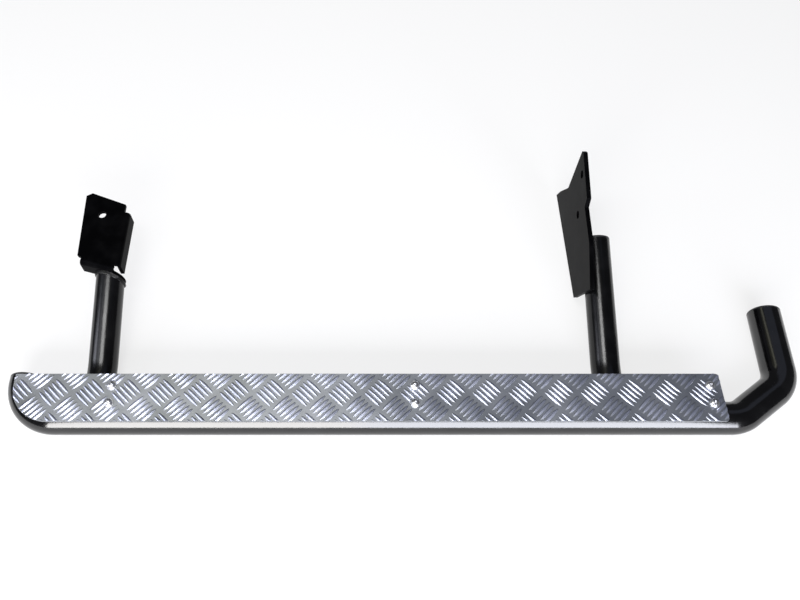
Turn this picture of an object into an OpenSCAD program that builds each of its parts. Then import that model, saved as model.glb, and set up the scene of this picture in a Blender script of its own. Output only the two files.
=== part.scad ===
// Fixed side step for an off-road vehicle.
// A bent steel tube runs along the outer edge and kicks inward at its right end.
// A flat five-bar tread plate lies on the tube, on an inner rail and on three straps.
// Two tube legs run inward and upward to a folded bracket and a flat bracket.
// X runs along the step, Y inward to the vehicle and Z up.
// The origin is the bolt hole of the left bracket, on the bracket's top face.

/* [Main tube] */
// Outer diameter of the main tube
tube_od = 42.4; // [40:0.1:46]
// Wall thickness of the main tube
tube_wall = 2.6; // [2:0.1:4]
// Length of the tube along the front, between the corners of its centreline
front_run = 926; // [880:1:980]
// Radius of the left bend at the tube's centreline
left_bend_r = 48; // [44:1:56]
// Straight length after the left bend
left_tail = 5; // [2:1:20]
// Angle of the first bend of the kick at the right end
kick_angle = 35; // [30:1:45]
// Angle of the second bend of the kick
kick_turn = 52; // [40:1:56]
// Slanting stretch of the kick, between the corners of its centreline
kick_slant = 82; // [76:1:100]
// Last stretch of the kick, from its corner to the tube's end
kick_reach = 106; // [80:1:130]
// Radius of both kick bends at the tube's centreline
kick_bend_r = 40; // [36:1:48]

/* [Legs] */
// Outer diameter of the legs
leg_od = 38; // [34:0.5:40]
// Wall thickness of the legs
leg_wall = 2.5; // [2:0.1:4]
// Place of the left leg from the tube's left corner
left_leg_inset = 96; // [90:1:110]
// Place of the right leg from the tube's left corner
right_leg_inset = 766.5; // [740:0.5:780]
// Distance from the main tube's axis to where a leg begins to rise
leg_level = 56; // [50:1:64]
// Rise of the legs towards the vehicle, in degrees
leg_rise = 16; // [12:1:20]
// Radius of the bend in a leg at its centreline
leg_bend_r = 90; // [80:5:110]
// Distance from the main tube's axis to the end of the left leg
left_leg_reach = 190; // [180:1:200]
// Distance from the main tube's axis to the end of the right leg
right_leg_reach = 243; // [238:1:255]

/* [Tread plate] */
// Thickness of the tread plate under its bars
plate_t = 3; // [2:0.5:4]
// Overhang of the plate past the tube's centreline at the front
plate_front = 13; // [10:0.5:16]
// Overhang of the plate past the tube's centreline at the left
plate_left = 5; // [3:0.5:8]
// Depth of the plate behind the tube's centreline
plate_inner = 51.5; // [48:0.5:56]
// Distance from the plate's right end to the corner where the kick begins
plate_setback = 25; // [20:1:40]
// Radius of the plate's front left corner
plate_corner_r = 52; // [40:1:60]
// Radius of the plate's small right corners
plate_small_r = 4; // [2:0.5:8]
// Distance between like groups of tread bars
bar_pitch = 46; // [42:1:50]
// Length of one tread bar
bar_len = 27; // [22:1:28]
// Width of one tread bar
bar_w = 4.2; // [3:0.1:4.6]
// Distance between the bars of a group
bar_gap = 6.2; // [5.6:0.1:6.4]
// Height of the tread bars
bar_h = 1.4; // [1:0.1:2]
// Distance of the first group's centre from the plate's left end
bar_start = 8; // [0:1:40]
// Distance of the first row's centre from the plate's inner edge
bar_row = 26; // [15:1:40]

/* [Support] */
// Thickness of the rail and the straps
strap_t = 5; // [4:0.5:6]
// Width of the inner rail
rail_w = 25; // [22:1:28]
// Amount by which the rail shows past the plate's inner edge
rail_show = 1.5; // [1:0.5:3]
// Width of the straps
strap_w = 24; // [20:1:28]
// Overlap of a strap over the tube, measured from the tube's axis
strap_front = 7; // [5:0.5:9]
// Place of the left strap from the tube's left corner
left_strap_at = 121; // [118:1:130]
// Place of the middle strap from the tube's left corner
middle_strap_at = 509; // [480:1:540]
// Distance of the right strap from the plate's right end
right_strap_setback = 14; // [13:0.5:20]

/* [Fasteners] */
// Diameter of the plate screws
screw_d = 6; // [5:0.5:6]
// Depth of the front screws behind the tube's axis
screw_front = 11; // [10:0.5:12]
// Distance between the two screws of a pair
screw_spacing = 24; // [23:0.5:28]
// Diameter of a screw head
head_d = 10.5; // [9:0.5:11.5]
// Height of a screw head
head_h = 3.3; // [2.5:0.1:4]
// Diameter of a washer
washer_d = 12.5; // [12:0.5:14]
// Thickness of a washer
washer_t = 1.2; // [1:0.1:1.8]
// Radial clearance of a screw in a washer or in the plate
screw_gap = 0.25; // [0.1:0.05:0.4]
// Radial clearance of the bars round a washer
washer_gap = 0.5; // [0.3:0.1:1]
// Length of a screw below the washer
screw_len = 12; // [10:1:14]

/* [Left bracket] */
// Sheet thickness of the left bracket
fold_t = 5; // [4:0.5:6]
// Inner radius of its folds
fold_r = 1.5; // [1:0.5:3]
// Height of its top face above the leg's axis at the lip
fold_top = 27; // [26:0.5:30]
// Width of its top from the leg's axis to the outer side, at the lip
fold_outer = 41; // [38:1:46]
// Widening of that side towards the vehicle, in degrees
outer_flare = 3; // [0:1:5]
// Width of its top from the leg's axis to the inner side
fold_inner = 19; // [18:1:24]
// Length of its top along the leg's axis
fold_len = 112; // [106:1:130]
// Slant of its front edge, in degrees
fold_slant = 16; // [12:1:20]
// Slant of its rear edge, in degrees
rear_slant = 22; // [12:1:26]
// Height of its front lip
lip_h = 23; // [21:1:28]
// Height of its side flange
flange_h = 24; // [16:1:28]
// Reach of the front lip from the leg's axis towards the side flange
lip_inner = 9; // [7:0.5:10]
// Distance from the lip's face on the leg's axis to the side flange
flange_front = 7; // [7:0.5:9]
// Length of its side flange
flange_len = 87; // [70:1:100]
// Size of its cut front corner
front_cut = 4; // [2:1:8]
// Size of its cut rear corner
rear_cut = 8; // [4:1:12]
// Width of the rim that the lip's round lobe leaves outside the leg
lobe_rim = 0.5; // [0.5:0.5:3]
// Diameter of the bolt hole in the left bracket
left_hole_d = 11; // [9:0.5:13]
// Distance of that hole outward from the leg's axis
left_hole_out = 19; // [14:1:24]
// Distance of that hole behind the lip
left_hole_back = 90; // [80:1:96]

/* [Right bracket] */
// Thickness of the right bracket
web_t = 6; // [5:0.5:8]
// Distance from the main tube's axis to the lower front corner of the right bracket
web_start = 184; // [178:1:190]
// Height of its lower edge from the main tube's axis
web_bottom = -8; // [-14:1:-4]
// Length of its lower edge
web_len = 183; // [178:1:190]
// Height of its front edge
web_front_h = 72; // [66:1:78]
// Lean of the front edge away from the vehicle, in degrees from upright
web_front_lean = 22; // [18:1:26]
// Slope of the front stretch of its upper edge, in degrees
crest_slope = 26; // [22:1:28]
// Length of that front stretch, measured level
crest_len = 56; // [50:1:62]
// Slope of the rear stretch of its upper edge, in degrees
saddle_slope = 8; // [4:1:12]
// Length of that rear stretch, measured level
saddle_len = 52; // [46:1:58]
// Height of the step up to its horn
horn_step = 14; // [10:1:18]
// Length of the horn's top, measured level
horn_len = 69; // [63:1:74]
// Slope of the horn's top, in degrees
horn_slope = 16; // [12:1:20]
// Height of the horn's upright rear edge
horn_rear_h = 84; // [76:1:90]
// Size of the horn's cut corner
horn_cut = 5; // [3:1:8]
// Height of its cut rear corner
tail_h = 20; // [14:1:26]
// Length of its cut rear corner
tail_cut = 9; // [5:1:12]
// Diameter of both bolt holes in the right bracket
web_hole_d = 11; // [9:0.5:13]
// Distance of the lower bolt hole from the lower front corner, measured level
low_hole_y = 89; // [80:1:96]
// Height of the lower bolt hole above the lower edge
low_hole_z = 76; // [66:1:78]
// Distance of the upper bolt hole from the lower front corner, measured level
high_hole_y = 125; // [118:1:130]
// Height of the upper bolt hole above the lower edge
high_hole_z = 119; // [112:1:120]

/* [Plugs and welds] */
// Thickness of a plug's head
plug_head_t = 3; // [2:0.5:5]
// Depth of a plug inside its tube
plug_depth = 16; // [10:1:24]
// Radial clearance of a plug in its tube
plug_gap = 0.2; // [0.1:0.05:0.4]
// Size of the rounding on a plug's head
plug_round = 1.5; // [1:0.1:1.8]
// Size of the weld beads
weld = 2.5; // [2:0.5:4]

/* [Hidden] */
$fn = 48;
cut = 1;
bend_slim = 0.05;
bend_lap = 0.5;
fold_lap = 2;
fold_step = 0.05;
steel = [0.06, 0.06, 0.07];
plastic = [0.09, 0.09, 0.1];
bare = [0.72, 0.73, 0.76];
zinc = [0.85, 0.85, 0.87];

tube_r = tube_od / 2;
tube_bore_r = tube_r - tube_wall;
leg_r = leg_od / 2;
leg_bore_r = leg_r - leg_wall;
kick_tangent = kick_bend_r * tan(kick_angle / 2);
turn_tangent = kick_bend_r * tan(kick_turn / 2);

// The left end of the plate lies near X = 0 here, before the part is set at its origin.
leg_z = tube_r - strap_t - leg_r;
left_leg_x = left_leg_inset;
right_leg_x = right_leg_inset;
leg_bend_tangent = leg_bend_r * tan(leg_rise / 2);
leg_corner = leg_level + leg_bend_tangent;
function leg_height(y) = leg_z + (y - leg_corner) * tan(leg_rise);

plate_z = tube_r;
plate_end = front_run - plate_setback;
plate_len = plate_end + plate_left;
plate_depth = plate_front + plate_inner;
rail_inner = plate_inner + rail_show;
rail_front = rail_inner - rail_w;
right_strap_at = plate_end - right_strap_setback;
strap_xs = [left_strap_at, middle_strap_at, right_strap_at];
screw_ys = [screw_front, screw_front + screw_spacing];
screw_r = screw_d / 2;
washer_z = plate_z + plate_t;

lip_height = leg_height(left_leg_reach);
fold_z = lip_height + fold_top;
fold_outer_r = fold_r + fold_t;
fold_seam = fold_outer_r + fold_lap / 2;
lip_start = (front_cut - fold_outer) / cos(fold_slant);
origin = [
    left_leg_x - left_hole_out,
    left_leg_reach + left_hole_back,
    fold_z
];

web_x = right_leg_x - leg_r - web_t;
web_corner = [-web_front_h * tan(web_front_lean), web_front_h];
crest_end = web_corner + crest_len * [1, tan(crest_slope)];
saddle_end = crest_end + saddle_len * [1, tan(saddle_slope)];
horn_root = saddle_end + horn_step * [tan(horn_slope), 1];
horn_tip = horn_root + horn_len * [1, tan(horn_slope)];

module placed() {
    translate(-origin) children();
}

module ring(outer_r, inner_r) {
    difference() {
        circle(outer_r);
        if (inner_r > 0) circle(inner_r);
    }
}

// A straight stretch of tube along +Y from the local origin
module stretch(length, outer_r, inner_r) {
    rotate([-90, 0, 0])
        linear_extrude(length)
            ring(outer_r, inner_r);
}

// A bend that starts along +Y at the local origin and turns to the left.
// It runs a little way into the stretches at both ends, a hair slimmer than they are.
module bend(angle, bend_r, outer_r, inner_r) {
    slim_inner_r = inner_r > 0 ? inner_r + bend_slim : 0;
    translate([-bend_r, 0, 0])
        rotate([0, 0, -bend_lap])
            rotate_extrude(angle = angle + 2 * bend_lap)
                translate([bend_r, 0])
                    ring(outer_r - bend_slim, slim_inner_r);
}

// Moves the children to the end of such a bend
module after_bend(angle, bend_r) {
    translate([-bend_r, 0, 0])
        rotate([0, 0, angle])
            translate([bend_r, 0, 0])
                children();
}

// The whole main tube, from its left end to the end of the kick
module tube_form(outer_r, inner_r) {
    front_length = front_run - left_bend_r - kick_tangent;
    slant_length = kick_slant - kick_tangent - turn_tangent;
    translate([0, left_bend_r, 0])
        stretch(left_tail, outer_r, inner_r);
    translate([0, left_bend_r, 0])
        rotate([0, 0, 180])
            bend(90, left_bend_r, outer_r, inner_r);
    translate([left_bend_r, 0, 0])
        rotate([0, 0, -90]) {
            stretch(front_length, outer_r, inner_r);
            translate([0, front_length, 0]) {
                bend(kick_angle, kick_bend_r, outer_r, inner_r);
                after_bend(kick_angle, kick_bend_r) {
                    stretch(slant_length, outer_r, inner_r);
                    translate([0, slant_length, 0]) {
                        bend(kick_turn, kick_bend_r, outer_r, inner_r);
                        after_bend(kick_turn, kick_bend_r)
                            stretch(kick_reach - turn_tangent, outer_r, inner_r);
                    }
                }
            }
        }
}

module main_tube() {
    color(steel)
        difference() {
            tube_form(tube_r, tube_bore_r);
            for (x = strap_xs)
                translate([x, screw_front, 0])
                    cylinder(r = screw_r, h = tube_od);
        }
}

// The straight front of the main tube as a solid, for shaping what meets it
module front_rod(outer_r) {
    rotate([0, 90, 0])
        cylinder(r = outer_r, h = front_run);
}

// The plug's axis points out of the tube, along +Z
module plug(outer_r, inner_r, depth) {
    color(plastic)
        union() {
            translate([0, 0, -depth])
                cylinder(r = inner_r - plug_gap, h = depth + cut);
            cylinder(r = outer_r, h = plug_head_t - plug_round);
            translate([0, 0, plug_head_t - plug_round])
                cylinder(r1 = outer_r, r2 = outer_r - plug_round, h = plug_round);
        }
}

// This plug fills the straight tail only, because the bend begins behind it
module left_end_plug() {
    translate([0, left_bend_r + left_tail, 0])
        rotate([-90, 0, 0])
            plug(tube_r, tube_bore_r, left_tail);
}

module kick_end_plug() {
    heading = kick_angle + kick_turn;
    end_x = front_run + kick_slant * cos(kick_angle) + kick_reach * cos(heading);
    end_y = kick_slant * sin(kick_angle) + kick_reach * sin(heading);
    translate([end_x, end_y, 0])
        rotate([0, 90, heading])
            plug(tube_r, tube_bore_r, plug_depth);
}

// A leg along +Y: level under the plate, then bent upward
module leg_form(reach, outer_r, inner_r) {
    rise_length = (reach - leg_corner) / cos(leg_rise) - leg_bend_tangent;
    translate([0, 0, leg_z]) {
        stretch(leg_level, outer_r, inner_r);
        translate([0, leg_level, 0])
            rotate([0, 90, 0]) {
                bend(leg_rise, leg_bend_r, outer_r, inner_r);
                after_bend(leg_rise, leg_bend_r)
                    stretch(rise_length, outer_r, inner_r);
            }
    }
}

// Space behind the front face of the left bracket's lip
module behind_lip() {
    size = 4 * fold_outer;
    translate([left_leg_x, left_leg_reach, lip_height])
        rotate([0, 0, -fold_slant])
            translate([-size / 2, 0, -size / 2])
                cube(size);
}

module left_leg() {
    spare = leg_r + fold_outer * tan(fold_slant);
    color(steel)
        difference() {
            translate([left_leg_x, 0, 0])
                leg_form(left_leg_reach + spare, leg_r, leg_bore_r);
            front_rod(tube_r);
            behind_lip();
        }
}

module right_leg() {
    color(steel)
        difference() {
            translate([right_leg_x, 0, 0])
                leg_form(right_leg_reach, leg_r, leg_bore_r);
            front_rod(tube_r);
        }
}

module right_leg_plug() {
    translate([right_leg_x, right_leg_reach, leg_height(right_leg_reach)])
        rotate([leg_rise - 90, 0, 0])
            plug(leg_r, leg_bore_r, plug_depth);
}

// A strap runs from over the tube to the rail and is shaped to the tube
module strap(x) {
    color(steel)
        difference() {
            translate([x - strap_w / 2, strap_front, plate_z - strap_t])
                cube([strap_w, rail_front - strap_front, strap_t]);
            front_rod(tube_r);
            translate([x, screw_front, 0])
                cylinder(r = screw_r, h = tube_od);
        }
}

module inner_rail() {
    color(steel)
        difference() {
            translate([0, rail_front, plate_z - strap_t])
                cube([plate_end - plate_small_r, rail_w, strap_t]);
            tube_form(tube_r, 0);
            for (x = strap_xs)
                translate([x, screw_front + screw_spacing, 0])
                    cylinder(r = screw_r, h = tube_od);
        }
}

// One corner to take off a sharp corner at the local origin, for a rounding
module corner_waste(r) {
    difference() {
        translate([-cut, -cut])
            square(r + cut);
        translate([r, r])
            circle(r, $fn = 96);
    }
}

module plate_outline() {
    translate([-plate_left, -plate_front])
        difference() {
            square([plate_len, plate_depth]);
            corner_waste(plate_corner_r);
            translate([plate_len, 0])
                mirror([1, 0])
                    corner_waste(plate_small_r);
            translate([plate_len, plate_depth])
                rotate(180)
                    corner_waste(plate_small_r);
        }
}

// One tread bar, seen from above: a long lens with blunt tips
module bar() {
    tip = bar_w / 4;
    shoulder = bar_len / 4;
    polygon([
        [-bar_len / 2, -tip], [-shoulder, -bar_w / 2], [shoulder, -bar_w / 2], [bar_len / 2, -tip],
        [bar_len / 2, tip], [shoulder, bar_w / 2], [-shoulder, bar_w / 2], [-bar_len / 2, tip]
    ]);
}

module bar_group(angle) {
    rotate(angle)
        for (i = [-2 : 2])
            translate([0, i * bar_gap])
                bar();
}

// Groups of five bars, each turned a right angle from its neighbours
module tread_pattern() {
    columns = ceil(plate_len / bar_pitch) + 1;
    rows = ceil(plate_depth / bar_pitch) + 1;
    translate([bar_start - plate_left, plate_inner - bar_row])
        for (i = [-1 : columns], j = [-rows : 1]) {
            translate([i * bar_pitch, j * bar_pitch])
                bar_group(-45);
            translate([(i + 0.5) * bar_pitch, (j + 0.5) * bar_pitch])
                bar_group(45);
        }
}

module tread_plate() {
    seat_r = washer_d / 2 + washer_gap;
    color(bare)
        difference() {
            union() {
                translate([0, 0, plate_z])
                    linear_extrude(plate_t)
                        plate_outline();
                translate([0, 0, washer_z])
                    linear_extrude(bar_h)
                        intersection() {
                            plate_outline();
                            tread_pattern();
                        }
            }
            for (x = strap_xs, y = screw_ys)
                translate([x, y, 0]) {
                    cylinder(r = screw_r + screw_gap, h = tube_od);
                    translate([0, 0, washer_z])
                        cylinder(r = seat_r, h = tube_od);
                }
        }
}

module plate_screws() {
    socket_r = screw_r / 2;
    color(zinc)
        for (x = strap_xs, y = screw_ys)
            translate([x, y, washer_z + washer_t])
                difference() {
                    union() {
                        translate([0, 0, -screw_len])
                            cylinder(r = screw_r, h = screw_len + cut);
                        intersection() {
                            cylinder(r = head_d / 2, h = head_h);
                            translate([0, 0, head_h - head_d * 0.75])
                                sphere(r = head_d * 0.75);
                        }
                    }
                    translate([0, 0, head_h / 2])
                        cylinder(r = socket_r, h = head_h, $fn = 6);
                }
}

module plate_washers() {
    color(zinc)
        for (x = strap_xs, y = screw_ys)
            translate([x, y, washer_z])
                linear_extrude(washer_t)
                    ring(washer_d / 2, screw_r + screw_gap);
}

// The lip, its fold and a narrow strip of the top: local X is the edge, the lip hangs at Y = 0
module folded_lip(length, height) {
    rotate([90, 0, 90])
        linear_extrude(length) {
            translate([fold_outer_r, -fold_outer_r])
                intersection() {
                    ring(fold_outer_r, fold_r);
                    translate([-fold_outer_r, 0])
                        square(fold_outer_r);
                }
            translate([0, -height])
                square([fold_t, height - fold_outer_r]);
            translate([fold_outer_r, fold_step - fold_t])
                square([fold_lap, fold_t - fold_step]);
        }
}

// The left bracket's top seen from above, up to the strips that carry its lips
module fold_plan() {
    inner_x = fold_inner - fold_seam;
    rear_x = -fold_outer - fold_len * tan(outer_flare);
    function at_lip(x) = [
        x * cos(fold_slant) + fold_seam * sin(fold_slant),
        fold_seam * cos(fold_slant) - x * sin(fold_slant)
    ];
    function rear_y(x) = fold_len - x * tan(rear_slant);
    polygon([
        at_lip(lip_start + fold_lap),
        at_lip(lip_inner - fold_lap),
        [inner_x, flange_front + fold_lap],
        [inner_x, rear_y(inner_x)],
        [rear_x + rear_cut, rear_y(rear_x + rear_cut)],
        [rear_x, rear_y(rear_x) - rear_cut],
        [-fold_outer, at_lip(lip_start)[1] + front_cut]
    ]);
}

module left_bracket() {
    color(steel)
        difference() {
            translate([left_leg_x, left_leg_reach, fold_z])
                union() {
                    translate([0, 0, -fold_t])
                        linear_extrude(fold_t)
                            fold_plan();
                    rotate([0, 0, -fold_slant]) {
                        translate([lip_start, 0, 0])
                            folded_lip(lip_inner - lip_start, lip_h);
                        translate([0, 0, -fold_top])
                            rotate([-90, 0, 0])
                                cylinder(r = leg_r / cos(leg_rise) + lobe_rim, h = fold_t);
                    }
                    translate([fold_inner, flange_front, 0])
                        rotate([0, 0, 90])
                            folded_lip(flange_len, flange_h);
                }
            translate([origin[0], origin[1], fold_z - 2 * fold_t])
                cylinder(d = left_hole_d, h = 4 * fold_t);
        }
}

module left_bracket_weld() {
    color(steel)
        difference() {
            translate([left_leg_x, left_leg_reach, lip_height])
                rotate([90, 0, -fold_slant])
                    cylinder(r1 = leg_r + weld + 1, r2 = leg_r + 1, h = weld + 1);
            translate([left_leg_x, 0, 0])
                leg_form(left_leg_reach + leg_r, leg_r, 0);
        }
}

// The right bracket's outline: level distance from its lower front corner, then height
module web_outline() {
    polygon([
        [0, 0],
        web_corner,
        crest_end,
        saddle_end,
        horn_root,
        horn_tip - horn_cut * [1, tan(horn_slope)],
        horn_tip - [0, horn_cut],
        horn_tip - [0, horn_rear_h],
        [web_len - tail_cut, tail_h],
        [web_len, 0]
    ]);
}

module right_bracket() {
    color(steel)
        translate([web_x, web_start, web_bottom])
            rotate([90, 0, 90])
                linear_extrude(web_t)
                    difference() {
                        web_outline();
                        translate([low_hole_y, low_hole_z])
                            circle(d = web_hole_d);
                        translate([high_hole_y, high_hole_z])
                            circle(d = web_hole_d);
                    }
}

// Two beads that fill the grooves between the right bracket and the leg
module right_bracket_welds() {
    bead_start = web_start - leg_corner;
    bead_length = (right_leg_reach - web_start) / cos(leg_rise);
    groove = weld * 3;
    color(steel)
        translate([right_leg_x, leg_corner, leg_z])
            rotate([leg_rise, 0, 0])
                translate([0, bead_start / cos(leg_rise), 0])
                    rotate([90, 0, 180])
                        linear_extrude(bead_length)
                            difference() {
                                for (side = [-1, 1])
                                    translate([leg_r - groove / 2, side * groove])
                                        square(groove, center = true);
                                circle(leg_r);
                            }
}

placed() main_tube();
placed() left_end_plug();
placed() kick_end_plug();
placed() left_leg();
placed() right_leg();
placed() right_leg_plug();
placed() strap(left_strap_at);  // left_strap
placed() strap(middle_strap_at);  // middle_strap
placed() strap(right_strap_at);  // right_strap
placed() inner_rail();
placed() tread_plate();
placed() plate_screws();
placed() plate_washers();
placed() left_bracket();
placed() right_bracket();
placed() left_bracket_weld();
placed() right_bracket_welds();
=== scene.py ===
import math

import bpy
from mathutils import Matrix, Vector


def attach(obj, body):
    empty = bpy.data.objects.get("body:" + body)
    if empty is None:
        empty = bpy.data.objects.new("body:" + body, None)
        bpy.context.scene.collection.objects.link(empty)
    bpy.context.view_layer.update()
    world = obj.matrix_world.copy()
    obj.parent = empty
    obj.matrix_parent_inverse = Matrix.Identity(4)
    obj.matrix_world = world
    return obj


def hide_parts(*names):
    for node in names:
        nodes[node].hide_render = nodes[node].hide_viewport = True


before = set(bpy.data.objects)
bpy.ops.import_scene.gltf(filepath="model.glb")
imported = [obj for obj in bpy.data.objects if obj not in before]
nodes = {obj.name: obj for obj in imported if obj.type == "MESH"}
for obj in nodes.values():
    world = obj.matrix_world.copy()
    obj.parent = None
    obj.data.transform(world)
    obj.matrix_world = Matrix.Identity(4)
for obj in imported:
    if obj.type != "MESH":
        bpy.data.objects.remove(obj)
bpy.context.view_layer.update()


# Camera. It stands in front of the step, above the middle of its length, and looks down at
# 60 degrees. The small shift puts the step in the frame as the photograph has it.
bpy.ops.object.camera_add(location=(0.362, -0.627, 0.846), rotation=(math.radians(30), 0, 0))
camera = bpy.context.object
camera.name = "camera"
camera.data.lens = 33.53
camera.data.sensor_width = 36
camera.data.shift_x = 0.05
camera.data.clip_start = 0.01
bpy.context.scene.camera = camera


# Main tube. One length of 42.4 mm steel pipe, bent round at its left end and kicked inward at its
# right end on a tube bender, drilled for the plate's front screws and powder coated gloss black.
tube_r = 0.0212
tube_wall = 0.0026
tube_corner = Vector((-0.077, -0.28, -0.058997))
left_tail = 0.005
left_bend_r = 0.048
front_run = 0.926
slant_run = 0.082
kick_run = 0.106
kick_bend_r = 0.04
slant_angle = math.radians(35)
kick_angle = math.radians(52)
screw_xs = (0.044, 0.432, 0.81)
front_screw_y = -0.269
front_screws = [(x, front_screw_y) for x in screw_xs]
tapping_r = 0.003
tapping_depth = 0.03
tapping_z = tube_corner.z + 0.02
round_sides = 96
bend_step = math.radians(2.5)
smooth_under = math.radians(35)
dust_dulling = 0.12


def take_up(piece):
    """Makes this piece the only one that is selected."""
    bpy.ops.object.select_all(action="DESELECT")
    piece.select_set(True)
    bpy.context.view_layer.objects.active = piece


def settle(piece):
    """Puts a piece's place into its mesh."""
    take_up(piece)
    bpy.ops.object.transform_apply(location=True, rotation=True, scale=True)


def finish_modifiers(piece):
    """Applies all of a piece's modifiers in their order."""
    take_up(piece)
    for modifier in list(piece.modifiers):
        bpy.ops.object.modifier_apply(modifier=modifier.name)


def weld_and_turn_out(piece):
    """Merges a piece's doubled points and turns its faces outwards."""
    take_up(piece)
    bpy.ops.object.mode_set(mode="EDIT")
    bpy.ops.mesh.select_all(action="SELECT")
    bpy.ops.mesh.remove_doubles(threshold=0.000001)
    bpy.ops.mesh.normals_make_consistent(inside=False)
    bpy.ops.object.mode_set(mode="OBJECT")


def bent_pipe(name, radius, wall, at, heading, swing, stretches):
    """Pulls a ring along each stretch and spins it round each bend, then gives the pipe its wall."""
    turn_to = heading.to_track_quat("Z", "Y").to_euler()
    bpy.ops.object.select_all(action="DESELECT")
    bpy.ops.mesh.primitive_circle_add(
        vertices=round_sides, radius=radius, location=at, rotation=turn_to
    )
    pipe = bpy.context.object
    pipe.name = name
    settle(pipe)
    bpy.ops.object.mode_set(mode="EDIT")
    bpy.ops.mesh.select_all(action="SELECT")
    for length, angle, bend_r in stretches:
        bpy.ops.mesh.extrude_region_move(TRANSFORM_OT_translate={"value": heading * length})
        at = at + heading * length
        if angle:
            centre = at + swing.cross(heading) * bend_r
            steps = round(angle / bend_step)
            # The operator turns the other way round its axis than Matrix.Rotation does
            bpy.ops.mesh.spin(steps=steps, angle=-angle, center=centre, axis=swing)
            turn = Matrix.Rotation(angle, 3, swing)
            at = centre + turn @ (at - centre)
            heading = turn @ heading
    bpy.ops.object.mode_set(mode="OBJECT")
    weld_and_turn_out(pipe)
    thickness = pipe.modifiers.new("wall", "SOLIDIFY")
    thickness.thickness = wall
    thickness.offset = -1
    finish_modifiers(pipe)
    return pipe


def cut_away(piece, tools, operation="DIFFERENCE"):
    """Cuts a piece with each tool, or keeps what they share, and throws the tools away."""
    for tool in tools:
        step = piece.modifiers.new("cut", "BOOLEAN")
        step.operation = operation
        step.solver = "MANIFOLD"
        step.object = tool
    finish_modifiers(piece)
    for tool in tools:
        bpy.data.objects.remove(tool)


def round_bar(radius, length, at, along, vertices=round_sides):
    """A round bar with its middle at a place, for a piece to start from or a tool to cut with."""
    bpy.ops.object.select_all(action="DESELECT")
    turn_to = Vector(along).to_track_quat("Z", "Y").to_euler()
    bpy.ops.mesh.primitive_cylinder_add(
        vertices=vertices, radius=radius, depth=length, location=at, rotation=turn_to
    )
    bar = bpy.context.object
    settle(bar)
    return bar


def dress(piece, material, node=""):
    """Gives a finished piece its shading, its material and its place in the part."""
    take_up(piece)
    bpy.ops.object.shade_smooth_by_angle(angle=smooth_under)
    flat_faces = piece.modifiers.new("flat_faces", "WEIGHTED_NORMAL")
    flat_faces.weight = 100
    flat_faces.keep_sharp = True
    finish_modifiers(piece)
    piece.data.materials.clear()
    piece.data.materials.append(material)
    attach(piece, "root")
    if node:
        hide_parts(node)


def black_powder_coat(name, skin, shine, peel):
    """Black powder coat: a fine orange peel under its gloss, and faint dust that dulls it."""
    coat = bpy.data.materials.new(name)
    coat.use_nodes = True
    tree = coat.node_tree
    shader = tree.nodes["Principled BSDF"]
    shader.inputs["IOR"].default_value = skin
    place = tree.nodes.new("ShaderNodeTexCoord")
    dust = tree.nodes.new("ShaderNodeTexNoise")
    dust.inputs["Scale"].default_value = 38
    dust.inputs["Detail"].default_value = 6
    dust_colour = tree.nodes.new("ShaderNodeValToRGB")
    dust_colour.color_ramp.elements[0].position = 0.42
    dust_colour.color_ramp.elements[0].color = (0.0008, 0.0008, 0.001, 1)
    dust_colour.color_ramp.elements[1].position = 0.8
    dust_colour.color_ramp.elements[1].color = (0.003, 0.003, 0.0033, 1)
    dulling = tree.nodes.new("ShaderNodeMapRange")
    dulling.inputs["To Min"].default_value = shine
    dulling.inputs["To Max"].default_value = shine + dust_dulling
    orange_peel = tree.nodes.new("ShaderNodeTexNoise")
    orange_peel.inputs["Scale"].default_value = 420
    orange_peel.inputs["Detail"].default_value = 2
    bump = tree.nodes.new("ShaderNodeBump")
    bump.inputs["Strength"].default_value = peel
    bump.inputs["Distance"].default_value = 0.0002
    tree.links.new(place.outputs["Object"], dust.inputs["Vector"])
    tree.links.new(place.outputs["Object"], orange_peel.inputs["Vector"])
    tree.links.new(dust.outputs["Fac"], dust_colour.inputs["Fac"])
    tree.links.new(dust_colour.outputs["Color"], shader.inputs["Base Color"])
    tree.links.new(dust.outputs["Fac"], dulling.inputs["Value"])
    tree.links.new(dulling.outputs["Result"], shader.inputs["Roughness"])
    tree.links.new(orange_peel.outputs["Fac"], bump.inputs["Height"])
    tree.links.new(bump.outputs["Normal"], shader.inputs["Normal"])
    return coat


tube_coat = black_powder_coat("tube_coat", skin=1.65, shine=0.08, peel=0.2)
slant_tangent = kick_bend_r * math.tan(slant_angle / 2)
kick_tangent = kick_bend_r * math.tan(kick_angle / 2)
left_end = tube_corner + Vector((0, left_bend_r + left_tail, 0))
tube = bent_pipe(
    "bent_tube",
    tube_r,
    tube_wall,
    at=left_end,
    heading=Vector((0, -1, 0)),
    swing=Vector((0, 0, 1)),
    stretches=[
        (left_tail, math.radians(90), left_bend_r),
        (front_run - left_bend_r - slant_tangent, slant_angle, kick_bend_r),
        (slant_run - slant_tangent - kick_tangent, kick_angle, kick_bend_r),
        (kick_run - kick_tangent, 0, 0),
    ],
)
drills = []
for x, y in front_screws:
    drills.append(round_bar(tapping_r, tapping_depth, (x, y, tapping_z), (0, 0, 1), vertices=32))
cut_away(tube, drills)
dress(tube, tube_coat, "main_tube")


# Tube end plugs. Moulded black plastic caps pushed into both ends of the main tube and into the
# free end of the right leg, each with a rounded head as wide as its tube.
plug_head = 0.003
plug_rounding = 0.0015
plug_shank = 0.016
plug_slack = 0.0002


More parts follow.
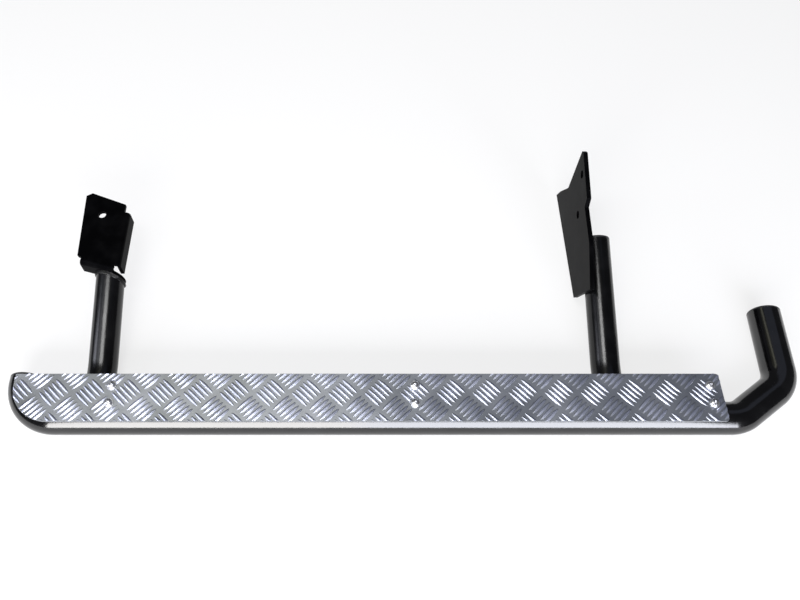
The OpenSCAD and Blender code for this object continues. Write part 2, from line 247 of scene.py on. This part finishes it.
def moulded_plastic(name):
    """Black plastic with a fine moulded grain, worn a little duller in patches."""
    plastic = bpy.data.materials.new(name)
    plastic.use_nodes = True
    tree = plastic.node_tree
    shader = tree.nodes["Principled BSDF"]
    place = tree.nodes.new("ShaderNodeTexCoord")
    grain = tree.nodes.new("ShaderNodeTexNoise")
    grain.inputs["Scale"].default_value = 1400
    grain.inputs["Detail"].default_value = 3
    bump = tree.nodes.new("ShaderNodeBump")
    bump.inputs["Strength"].default_value = 0.35
    bump.inputs["Distance"].default_value = 0.0002
    wear = tree.nodes.new("ShaderNodeTexNoise")
    wear.inputs["Scale"].default_value = 60
    wear.inputs["Detail"].default_value = 5
    tone = tree.nodes.new("ShaderNodeValToRGB")
    tone.color_ramp.elements[0].color = (0.006, 0.006, 0.0065, 1)
    tone.color_ramp.elements[1].color = (0.022, 0.022, 0.023, 1)
    gloss = tree.nodes.new("ShaderNodeMapRange")
    gloss.inputs["To Min"].default_value = 0.32
    gloss.inputs["To Max"].default_value = 0.5
    tree.links.new(place.outputs["Object"], grain.inputs["Vector"])
    tree.links.new(place.outputs["Object"], wear.inputs["Vector"])
    tree.links.new(wear.outputs["Fac"], tone.inputs["Fac"])
    tree.links.new(wear.outputs["Fac"], gloss.inputs["Value"])
    tree.links.new(gloss.outputs["Result"], shader.inputs["Roughness"])
    tree.links.new(tone.outputs["Color"], shader.inputs["Base Color"])
    tree.links.new(grain.outputs["Fac"], bump.inputs["Height"])
    tree.links.new(bump.outputs["Normal"], shader.inputs["Normal"])
    return plastic


plug_plastic = moulded_plastic("plug_plastic")


def end_plug(name, node, head_r, wall, depth, at, outward):
    """A cap whose head stands proud of the tube's end and whose shank fills its bore."""
    outward = Vector(outward).normalized()
    shank_r = head_r - wall - plug_slack
    plug = round_bar(head_r, plug_head, Vector(at) + outward * (plug_head / 2), outward, vertices=72)
    plug.name = name
    bpy.ops.object.mode_set(mode="EDIT")
    bpy.ops.mesh.select_all(action="DESELECT")
    bpy.ops.object.mode_set(mode="OBJECT")
    for face in plug.data.polygons:
        face.select = face.normal.dot(outward) < -0.9
    bpy.ops.object.mode_set(mode="EDIT")
    bpy.ops.mesh.inset(thickness=head_r - shank_r, depth=0)
    bpy.ops.mesh.extrude_region_move(TRANSFORM_OT_translate={"value": outward * -depth})
    bpy.ops.mesh.select_all(action="DESELECT")
    bpy.ops.object.mode_set(mode="OBJECT")
    for face in plug.data.polygons:
        face.select = face.normal.dot(outward) > 0.9
    bpy.ops.object.mode_set(mode="EDIT")
    bpy.ops.mesh.bevel(offset=plug_rounding, segments=4, affect="EDGES")
    bpy.ops.object.mode_set(mode="OBJECT")
    dress(plug, plug_plastic, node)


slant_heading = Vector((math.cos(slant_angle), math.sin(slant_angle), 0))
kick_turn = slant_angle + kick_angle
kick_heading = Vector((math.cos(kick_turn), math.sin(kick_turn), 0))
slant_start = tube_corner + Vector((front_run, 0, 0))
kick_end = slant_start + slant_heading * slant_run + kick_heading * kick_run
end_plug("left_tube_cap", "left_end_plug", tube_r, tube_wall, left_tail, left_end, (0, 1, 0))
end_plug("kick_tube_cap", "kick_end_plug", tube_r, tube_wall, plug_shank, kick_end, kick_heading)


# Legs. Two lengths of 38 mm steel tube, coped to the main tube, welded under the plate and bent up
# 16 degrees just past it. The left one ends on its bracket's lip, the right one in a cap.
leg_r = 0.019
leg_wall = 0.0025
leg_rise = math.radians(16)
leg_level = 0.056
leg_bend_r = 0.09
leg_tangent = leg_bend_r * math.tan(leg_rise / 2)
left_leg_x = 0.019
left_leg_reach = 0.19
right_leg_x = 0.6895
right_leg_reach = 0.243
strap_thickness = 0.005
leg_z = tube_corner.z + tube_r - strap_thickness - leg_r
lip_turn = math.radians(16)
spare_length = 0.03
coping_width = 0.1
leg_coat = black_powder_coat("leg_coat", skin=1.42, shine=0.16, peel=0.3)


def leg_end(leg_x, reach):
    """The middle of a leg's free end."""
    risen = (reach - leg_level - leg_tangent) * math.tan(leg_rise)
    return Vector((leg_x, tube_corner.y + reach, leg_z + risen))


def coped_leg(name, leg_x, reach):
    """A leg from the main tube's middle to its reach, with its start coped to the tube."""
    rise = (reach - leg_level - leg_tangent) / math.cos(leg_rise) - leg_tangent
    leg = bent_pipe(
        name,
        leg_r,
        leg_wall,
        at=Vector((leg_x, tube_corner.y, leg_z)),
        heading=Vector((0, 1, 0)),
        swing=Vector((1, 0, 0)),
        stretches=[(leg_level, leg_rise, leg_bend_r), (rise, 0, 0)],
    )
    tube_middle = (leg_x, tube_corner.y, tube_corner.z)
    cut_away(leg, [round_bar(tube_r, coping_width, tube_middle, (1, 0, 0), vertices=192)])
    return leg


left_leg = coped_leg("left_tube_leg", left_leg_x, left_leg_reach + spare_length)
right_leg = coped_leg("right_tube_leg", right_leg_x, right_leg_reach)
take_up(left_leg)
bpy.ops.object.mode_set(mode="EDIT")
bpy.ops.mesh.select_all(action="SELECT")
lip_place = leg_end(left_leg_x, left_leg_reach)
lip_face = Vector((math.sin(lip_turn), math.cos(lip_turn), 0))
bpy.ops.mesh.bisect(plane_co=lip_place, plane_no=lip_face, clear_outer=True, use_fill=False)
bpy.ops.object.mode_set(mode="OBJECT")
dress(left_leg, leg_coat, "left_leg")
dress(right_leg, leg_coat, "right_leg")

right_leg_end = leg_end(right_leg_x, right_leg_reach)
leg_heading = Vector((0, math.cos(leg_rise), math.sin(leg_rise)))
end_plug("right_leg_cap", "right_leg_plug", leg_r, leg_wall, plug_shank, right_leg_end, leg_heading)


# Leg welds. A fillet bead runs round each leg where its coped end meets the main tube, laid on
# before the coating and rippled like any hand-laid bead.
weld_leg_size = 0.0032
bead_reach = 0.05
bead_bite = 0.0004
bead_cutter_width = 0.08
bead_cutter_depth = 0.2
ripple_spacing = 0.0035
leg_ripple = 0.0004
bead_grain = 0.0004
ripple_form = bpy.data.textures.new("ripple_form", "WOOD")
ripple_form.wood_type = "BANDS"
ripple_guide = bpy.data.objects.new("ripple_guide", None)
bpy.context.scene.collection.objects.link(ripple_guide)
ripple_guide.scale = (ripple_spacing, ripple_spacing, ripple_spacing)
bpy.context.view_layer.update()


def ripple_bead(bead, height):
    """Rounds off a bead and gives it the ripples of the weld pool."""
    evened = bead.modifiers.new("evened", "REMESH")
    evened.mode = "VOXEL"
    evened.voxel_size = bead_grain
    rounded = bead.modifiers.new("rounded", "SMOOTH")
    rounded.iterations = 5
    ripples = bead.modifiers.new("ripples", "DISPLACE")
    ripples.texture = ripple_form
    ripples.texture_coords = "OBJECT"
    ripples.texture_coords_object = ripple_guide
    ripples.strength = height
    ripples.mid_level = 0.5
    finish_modifiers(bead)


weld_coat = black_powder_coat("weld_coat", skin=1.45, shine=0.25, peel=0.5)
for name, leg_x in (("left_leg_bead", left_leg_x), ("right_leg_bead", right_leg_x)):
    bead_middle = (leg_x, tube_corner.y + bead_reach / 2, leg_z)
    bead = round_bar(leg_r + weld_leg_size, bead_reach, bead_middle, (0, 1, 0))
    bead.name = name
    tube_middle = (leg_x, tube_corner.y, tube_corner.z)
    leg_start = (leg_x, tube_corner.y, leg_z)
    swell = round_bar(tube_r + weld_leg_size, bead_cutter_width, tube_middle, (1, 0, 0))
    cut_away(bead, [swell], "INTERSECT")
    cut_away(bead, [round_bar(tube_r - bead_bite, bead_cutter_width, tube_middle, (1, 0, 0))])
    cut_away(bead, [round_bar(leg_r - bead_bite, bead_cutter_depth, leg_start, (0, 1, 0))])
    take_up(bead)
    bpy.ops.object.mode_set(mode="EDIT")
    bpy.ops.mesh.select_all(action="SELECT")
    lowest = (0, 0, leg_z - leg_r)
    bpy.ops.mesh.bisect(plane_co=lowest, plane_no=(0, 0, -1), clear_outer=True, use_fill=True)
    bpy.ops.object.mode_set(mode="OBJECT")
    ripple_bead(bead, leg_ripple)
    dress(bead, weld_coat)


# Rail and straps. Flat steel bars under the plate: the rail stiffens its inner edge, and three
# short straps tie the rail to the tube. Sheared to length, welded up and coated with the rest.
flat_coat = black_powder_coat("flat_coat", skin=1.35, shine=0.2, peel=0.4)
same_face_under = math.radians(0.6)
sharp_over = math.radians(40)


def eased_copy(name, node, rounding, coat):
    """A copy of the CAD piece with its triangles merged and its sharp edges eased."""
    piece = bpy.data.objects.new(name, nodes[node].data.copy())
    bpy.context.scene.collection.objects.link(piece)
    weld_and_turn_out(piece)
    bpy.ops.object.mode_set(mode="EDIT")
    bpy.ops.mesh.select_all(action="SELECT")
    bpy.ops.mesh.dissolve_limited(angle_limit=same_face_under)
    bpy.ops.object.mode_set(mode="OBJECT")
    easing = piece.modifiers.new("eased_edges", "BEVEL")
    easing.width = rounding
    easing.segments = 3
    easing.limit_method = "ANGLE"
    easing.angle_limit = sharp_over
    finish_modifiers(piece)
    dress(piece, coat, node)


rail_rounding = 0.0005
strap_rounding = 0.0004
eased_copy("rail_bar", "inner_rail", rail_rounding, flat_coat)
for side in ("left", "middle", "right"):
    eased_copy(side + "_strap_bar", side + "_strap", strap_rounding, flat_coat)


# Tread plate. Bare rolled aluminium sheet, 3 mm thick with five-bar lozenges standing 1.4 mm
# proud, cut to a round front corner at the left and screwed down to the tube and the rail.
plate_low = Vector((-0.082, -0.293, tube_corner.z + tube_r))
plate_size = Vector((0.906, 0.0645, 0.003))
plate_corner_r = 0.052
small_corner_r = 0.004
sheared_rounding = 0.0004
rear_screw_y = -0.245
rear_screws = [(x, rear_screw_y) for x in screw_xs]
screw_hole_r = 0.00325
screw_hole_depth = 0.02
washer_pocket_r = 0.00675
washer_pocket_depth = 0.01
washer_pocket_up = 0.003
tread_pitch = 0.046
bar_spacing = 0.0062
bar_form = (0.0208, 0.0035, 0.0052)
bar_sunk = 0.0039
bar_foot = 0.0001
bars_each_side = 2
bars_inset = 0.0002
bars_rise_from = 0.002
bars_height_room = 0.004
first_group_from_left = 0.008
first_group_from_rear = 0.026
group_margin = 0.02


def sheet_form(name, low, size, corner_r, small_r):
    """A flat sheet with a round front left corner and two small round corners at the right."""
    centre = low + size / 2
    bpy.ops.object.select_all(action="DESELECT")
    bpy.ops.mesh.primitive_plane_add(size=1, location=(centre.x, centre.y, low.z))
    sheet = bpy.context.object
    sheet.name = name
    sheet.scale = (size.x, size.y, 1)
    settle(sheet)
    for at_left, radius, steps in ((True, corner_r, 32), (False, small_r, 6)):
        bpy.ops.object.mode_set(mode="EDIT")
        bpy.ops.mesh.select_mode(type="VERT")
        bpy.ops.mesh.select_all(action="DESELECT")
        bpy.ops.object.mode_set(mode="OBJECT")
        for point in sheet.data.vertices:
            left = point.co.x < centre.x
            front = point.co.y < centre.y
            point.select = (left and front) if at_left else not left
        bpy.ops.object.mode_set(mode="EDIT")
        bpy.ops.mesh.bevel(offset=radius, segments=steps, affect="VERTICES")
        bpy.ops.object.mode_set(mode="OBJECT")
    bpy.ops.object.mode_set(mode="EDIT")
    bpy.ops.mesh.select_all(action="SELECT")
    bpy.ops.mesh.extrude_region_move(TRANSFORM_OT_translate={"value": (0, 0, size.z)})
    bpy.ops.mesh.select_all(action="SELECT")
    bpy.ops.mesh.normals_make_consistent(inside=False)
    bpy.ops.object.mode_set(mode="OBJECT")
    return sheet


plate = sheet_form("tread_sheet", plate_low, plate_size, plate_corner_r, small_corner_r)
drills = []
for x, y in front_screws + rear_screws:
    at = (x, y, plate_low.z)
    drills.append(round_bar(screw_hole_r, screw_hole_depth, at, (0, 0, 1), vertices=32))
cut_away(plate, drills)
easing = plate.modifiers.new("sheared_edge", "BEVEL")
easing.width = sheared_rounding
easing.segments = 2
easing.angle_limit = sharp_over
finish_modifiers(plate)

bpy.ops.object.select_all(action="DESELECT")
lying = (0, math.radians(90), 0)
bpy.ops.mesh.primitive_uv_sphere_add(segments=48, ring_count=24, radius=1, rotation=lying)
first_bar = bpy.context.object
settle(first_bar)
bpy.ops.object.mode_set(mode="EDIT")
bpy.ops.mesh.select_all(action="SELECT")
bpy.ops.transform.resize(value=bar_form)
bpy.ops.transform.translate(value=(0, 0, -bar_sunk))
bpy.ops.mesh.bisect(plane_co=(0, 0, -bar_foot), plane_no=(0, 0, -1), clear_outer=True, use_fill=True)
bpy.ops.object.mode_set(mode="OBJECT")

bars = []
top_z = plate_low.z + plate_size.z
first_x = plate_low.x + first_group_from_left
first_y = plate_low.y + plate_size.y - first_group_from_rear
first_group = Vector((first_x, first_y, top_z))
front_limit = plate_low.y - group_margin
rear_limit = plate_low.y + plate_size.y + group_margin
for column in range(-1, 22):
    for row in range(-3, 2):
        for half, turn_to in ((0, math.radians(-45)), (0.5, math.radians(45))):
            step = Vector(((column + half) * tread_pitch, (row + half) * tread_pitch, 0))
            middle = first_group + step
            if not front_limit < middle.y < rear_limit:
                continue
            across = Vector((-math.sin(turn_to), math.cos(turn_to), 0))
            turned = Matrix.Rotation(turn_to, 4, "Z")
            for place in range(-bars_each_side, bars_each_side + 1):
                bar = bpy.data.objects.new("tread_bar", first_bar.data.copy())
                bpy.context.scene.collection.objects.link(bar)
                bar.data.transform(Matrix.Translation(middle + across * place * bar_spacing) @ turned)
                bars.append(bar)
bpy.data.objects.remove(first_bar)
take_up(bars[0])
for bar in bars:
    bar.select_set(True)
bpy.ops.object.join()
tread = bpy.context.object
tread.name = "tread_bars"
trim_low = plate_low + Vector((bars_inset, bars_inset, bars_rise_from))
trim_size = plate_size + Vector((-2 * bars_inset, -2 * bars_inset, bars_height_room))
trim = sheet_form("trim", trim_low, trim_size, plate_corner_r, small_corner_r)
cut_away(tread, [trim], "INTERSECT")
pockets = []
for x, y in front_screws + rear_screws:
    at = (x, y, top_z + washer_pocket_up)
    pockets.append(round_bar(washer_pocket_r, washer_pocket_depth, at, (0, 0, 1), vertices=48))
cut_away(tread, pockets)


def bare_aluminium(name):
    """Rolled aluminium: streaks along the sheet, smudges, and a darker grey-olive colour on the sheet
    below the bar tops.
    """
    metal = bpy.data.materials.new(name)
    metal.use_nodes = True
    tree = metal.node_tree
    shader = tree.nodes["Principled BSDF"]
    shader.inputs["Metallic"].default_value = 1
    place = tree.nodes.new("ShaderNodeTexCoord")
    along = tree.nodes.new("ShaderNodeMapping")
    along.inputs["Scale"].default_value = (12, 700, 700)
    streaks = tree.nodes.new("ShaderNodeTexNoise")
    streaks.inputs["Scale"].default_value = 1
    streaks.inputs["Detail"].default_value = 4
    smudges = tree.nodes.new("ShaderNodeTexNoise")
    smudges.inputs["Scale"].default_value = 16
    smudges.inputs["Detail"].default_value = 5
    bright = tree.nodes.new("ShaderNodeValToRGB")
    bright.color_ramp.elements[0].position = 0.35
    bright.color_ramp.elements[0].color = (0.52, 0.55, 0.66, 1)
    bright.color_ramp.elements[1].position = 0.65
    bright.color_ramp.elements[1].color = (0.66, 0.69, 0.82, 1)
    height = tree.nodes.new("ShaderNodeSeparateXYZ")
    # By height alone, the sheet and the feet of the bars are coloured darker and greyer than the bar
    # tops.
    hollow = tree.nodes.new("ShaderNodeMapRange")
    hollow.inputs["From Min"].default_value = top_z + 0.0001
    hollow.inputs["From Max"].default_value = top_z + 0.0006
    hollow.inputs["To Min"].default_value = 0.62
    hollow.inputs["To Max"].default_value = 0
    low_darkening = tree.nodes.new("ShaderNodeMix")
    low_darkening.data_type = "RGBA"
    low_darkening.inputs["B"].default_value = (0.29, 0.3, 0.27, 1)
    dulling = tree.nodes.new("ShaderNodeMapRange")
    dulling.inputs["From Min"].default_value = 0.3
    dulling.inputs["From Max"].default_value = 0.7
    dulling.inputs["To Min"].default_value = 0.34
    dulling.inputs["To Max"].default_value = 0.46
    bump = tree.nodes.new("ShaderNodeBump")
    bump.inputs["Strength"].default_value = 0.12
    bump.inputs["Distance"].default_value = 0.0001
    tree.links.new(place.outputs["Object"], along.inputs["Vector"])
    tree.links.new(along.outputs["Vector"], streaks.inputs["Vector"])
    tree.links.new(place.outputs["Object"], smudges.inputs["Vector"])
    tree.links.new(place.outputs["Object"], height.inputs["Vector"])
    tree.links.new(height.outputs["Z"], hollow.inputs["Value"])
    tree.links.new(smudges.outputs["Fac"], bright.inputs["Fac"])
    tree.links.new(hollow.outputs["Result"], low_darkening.inputs["Factor"])
    tree.links.new(bright.outputs["Color"], low_darkening.inputs["A"])
    tree.links.new(low_darkening.outputs["Result"], shader.inputs["Base Color"])
    tree.links.new(smudges.outputs["Fac"], dulling.inputs["Value"])
    tree.links.new(dulling.outputs["Result"], shader.inputs["Roughness"])
    tree.links.new(streaks.outputs["Fac"], bump.inputs["Height"])
    tree.links.new(bump.outputs["Normal"], shader.inputs["Normal"])
    return metal


sheet_aluminium = bare_aluminium("sheet_aluminium")
dress(plate, sheet_aluminium, "tread_plate")
dress(tread, sheet_aluminium, "tread_plate")


# Screws and washers. Zinc-plated button-head screws with a hexagon socket, each on a plain
# washer, in three pairs: the front ones go into the tube and the rear ones into the rail.
def zinc_plating(name):
    """Bright zinc, clouded unevenly by its passivation."""
    zinc = bpy.data.materials.new(name)
    zinc.use_nodes = True
    tree = zinc.node_tree
    shader = tree.nodes["Principled BSDF"]
    shader.inputs["Metallic"].default_value = 1
    place = tree.nodes.new("ShaderNodeTexCoord")
    bloom = tree.nodes.new("ShaderNodeTexNoise")
    bloom.inputs["Scale"].default_value = 260
    bloom.inputs["Detail"].default_value = 4
    tone = tree.nodes.new("ShaderNodeValToRGB")
    tone.color_ramp.elements[0].color = (0.66, 0.67, 0.7, 1)
    tone.color_ramp.elements[1].color = (0.88, 0.88, 0.9, 1)
    dulling = tree.nodes.new("ShaderNodeMapRange")
    dulling.inputs["To Min"].default_value = 0.2
    dulling.inputs["To Max"].default_value = 0.42
    tree.links.new(place.outputs["Object"], bloom.inputs["Vector"])
    tree.links.new(bloom.outputs["Fac"], tone.inputs["Fac"])
    tree.links.new(bloom.outputs["Fac"], dulling.inputs["Value"])
    tree.links.new(tone.outputs["Color"], shader.inputs["Base Color"])
    tree.links.new(dulling.outputs["Result"], shader.inputs["Roughness"])
    return zinc


screw_zinc = zinc_plating("zinc_plating")
washer_rounding = 0.00025
head_rounding = 0.0003
eased_copy("screw_washers", "plate_washers", washer_rounding, screw_zinc)
eased_copy("button_head_screws", "plate_screws", head_rounding, screw_zinc)


# Left bracket. Folded 5 mm steel plate, with a lip down over the end of the leg and a side flange,
# drilled for one bolt up into the vehicle.
bracket_coat = black_powder_coat("bracket_coat", skin=1.07, shine=0.3, peel=0.5)
folded_rounding = 0.0006
eased_copy("folded_bracket", "left_bracket", folded_rounding, bracket_coat)


# Right bracket. A flat 6 mm steel plate, cut to a horn at the top and welded upright along the
# leg's outer side, drilled for two bolts.
upright_rounding = 0.0007
eased_copy("upright_bracket", "right_bracket", upright_rounding, bracket_coat)


# Bracket welds. One bead is laid round the left leg's end on the bracket's lip, and two run along
# the right leg at the upright plate. They are steel, laid by hand and coated with the rest.
bracket_ripple = 0.0005
for name, node in (
    ("folded_bracket_bead", "left_bracket_weld"),
    ("upright_bracket_beads", "right_bracket_welds"),
):
    bead = bpy.data.objects.new(name, nodes[node].data.copy())
    bpy.context.scene.collection.objects.link(bead)
    weld_and_turn_out(bead)
    ripple_bead(bead, bracket_ripple)
    dress(bead, weld_coat, node)
bpy.data.objects.remove(ripple_guide)


# Studio. The step lies on a pale floor. Two broad soft lights stand in front of it, a narrow one
# hangs overhead, two small ones glint on the left bend, and three faint ones stand behind.
floor_gap = 0.0001
floor_glow = 0.75
bpy.ops.object.select_all(action="DESELECT")
bpy.ops.mesh.primitive_plane_add(size=14, location=(0.36, 0, leg_z - leg_r - floor_gap))
floor = bpy.context.object
floor.name = "studio_floor"
pale = bpy.data.materials.new("pale_floor")
pale.use_nodes = True
tree = pale.node_tree
tree.nodes.remove(tree.nodes["Principled BSDF"])
paper = tree.nodes.new("ShaderNodeBsdfDiffuse")
paper.inputs["Color"].default_value = (0.8, 0.8, 0.8, 1)
white = tree.nodes.new("ShaderNodeEmission")
white.inputs["Color"].default_value = (1, 1, 1, 1)
ray = tree.nodes.new("ShaderNodeLightPath")
seen = tree.nodes.new("ShaderNodeMath")
seen.operation = "MAXIMUM"
seen_or_through = tree.nodes.new("ShaderNodeMath")
seen_or_through.operation = "MAXIMUM"
share = tree.nodes.new("ShaderNodeMath")
share.operation = "MULTIPLY"
share.inputs[1].default_value = floor_glow
blend = tree.nodes.new("ShaderNodeMixShader")
tree.links.new(ray.outputs["Is Camera Ray"], seen.inputs[0])
tree.links.new(ray.outputs["Is Glossy Ray"], seen.inputs[1])
tree.links.new(seen.outputs["Value"], seen_or_through.inputs[0])
tree.links.new(ray.outputs["Is Transmission Ray"], seen_or_through.inputs[1])
tree.links.new(seen_or_through.outputs["Value"], share.inputs[0])
tree.links.new(share.outputs["Value"], blend.inputs["Fac"])
tree.links.new(paper.outputs["BSDF"], blend.inputs[1])
tree.links.new(white.outputs["Emission"], blend.inputs[2])
tree.links.new(blend.outputs["Shader"], tree.nodes["Material Output"].inputs["Surface"])
floor.data.materials.append(pale)


def soft_light(name, at, aim, width, height, power, colour):
    """A rectangular softbox at one place, aimed at another."""
    bpy.ops.object.light_add(type="AREA", location=at)
    lamp = bpy.context.object
    lamp.name = name
    lamp.data.shape = "RECTANGLE"
    lamp.data.size = width
    lamp.data.size_y = height
    lamp.data.energy = power
    lamp.data.color = colour
    lamp.rotation_euler = (Vector(aim) - Vector(at)).to_track_quat("-Z", "Y").to_euler()


soft_light("front_left", (-0.245, -1.9, 0.72), (-0.245, 0, 0.72), 1.21, 1.46, 76, (1, 0.985, 0.98))
soft_light("front_right", (1.04, -1.9, 0.72), (1.04, 0, 0.72), 1.36, 1.46, 86, (0.9, 0.92, 1))
soft_light("overhead", (-0.02, -0.34, 1.8), (-0.02, -0.34, 0), 0.8, 0.36, 14, (1, 1, 1))
soft_light("low_left_glint", (-1.1, -0.35, 0.7), (-0.05, -0.26, -0.03), 0.5, 0.6, 6, (0.86, 0.88, 1))
soft_light("left_glint", (-0.78, -0.45, 1.47), (0.3, -0.26, -0.03), 0.6, 0.6, 3, (0.9, 0.92, 1))
soft_light("rear_left", (-0.75, 0.75, 1.9), (-0.1, -0.26, 0), 0.8, 1.1, 0.4, (1, 1, 0.6))
soft_light("rear_cream", (-0.2, 0.75, 1.9), (0.2, -0.26, 0), 0.36, 1.1, 1.1, (1, 0.99, 0.8))
soft_light("rear_right", (1.05, 0.75, 1.9), (0.6, -0.26, 0), 2.0, 1.1, 1.6, (0.66, 0.74, 1))

world = bpy.data.worlds.new("studio")
world.use_nodes = True
world.node_tree.nodes["Background"].inputs["Color"].default_value = (0.9, 0.92, 1, 1)
world.node_tree.nodes["Background"].inputs["Strength"].default_value = 0.08
bpy.context.scene.world = world
bpy.context.scene.view_settings.view_transform = "Standard"
